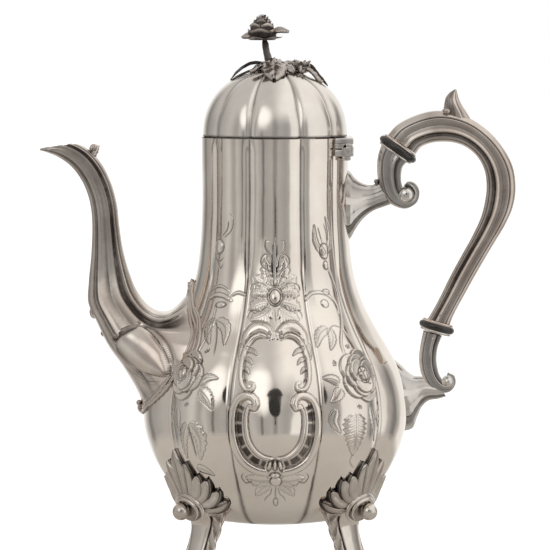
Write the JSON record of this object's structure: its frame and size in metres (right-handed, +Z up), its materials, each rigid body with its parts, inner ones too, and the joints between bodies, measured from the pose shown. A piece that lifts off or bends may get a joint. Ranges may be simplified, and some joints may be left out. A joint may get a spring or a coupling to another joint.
{
  "type": "coffee pot",
  "caption": "Fluted pear-shaped silver coffee pot on shell feet, with a swan-neck spout, an insulated scroll handle and a hinged domed lid with a rose finial.",
  "frame": {"origin": "on the table, under the axis of the body", "axes": "+X towards the handle, the spout at -X, -Y is the front of the pot, +Z up"},
  "size_m": [0.2372, 0.1314, 0.282],
  "materials": {
    "polished_silver": "hand-polished silver plate, warm grey",
    "tarnished_silver": "worn silver plate, softly tarnished",
    "oxidised_silver": "cast silver with dark patina in its recesses",
    "ebonite": "polished black ebonite"
  },
  "bodies": {
    "pot": {"body_shell": "polished_silver", "base_disc": "polished_silver", "spout": "tarnished_silver", "handle_grip": "tarnished_silver", "upper_socket": "polished_silver", "lower_socket": "polished_silver", "upper_insulator": "ebonite", "lower_insulator": "ebonite", "upper_grip_pin": "polished_silver", "upper_socket_pin": "polished_silver", "lower_grip_pin": "polished_silver", "lower_socket_pin": "polished_silver", "hinge_body_leaf": "polished_silver", "hinge_pin": "polished_silver", "foot_front_left": "oxidised_silver", "foot_back_left": "oxidised_silver", "foot_front_right": "oxidised_silver", "foot_back_right": "oxidised_silver"},
    "lid": {"lid_dome": "polished_silver", "lid_bezel": "polished_silver", "hinge_lid_leaf": "polished_silver", "finial_branch": "oxidised_silver", "finial_bloom": "oxidised_silver", "finial_leaf_left": "oxidised_silver", "finial_leaf_right": "oxidised_silver", "finial_leaf_front": "oxidised_silver", "finial_leaf_back": "oxidised_silver", "finial_buds": "oxidised_silver", "finial_washer": "polished_silver", "finial_nut": "polished_silver"}
  },
  "joints": [
    {"name": "lid_hinge", "type": "hinge", "parent": "pot", "child": "lid", "pos_m": [0.0362, 0, 0.2152], "axis": [0, 1, 0], "range_deg": [0, 75]}
  ]
}
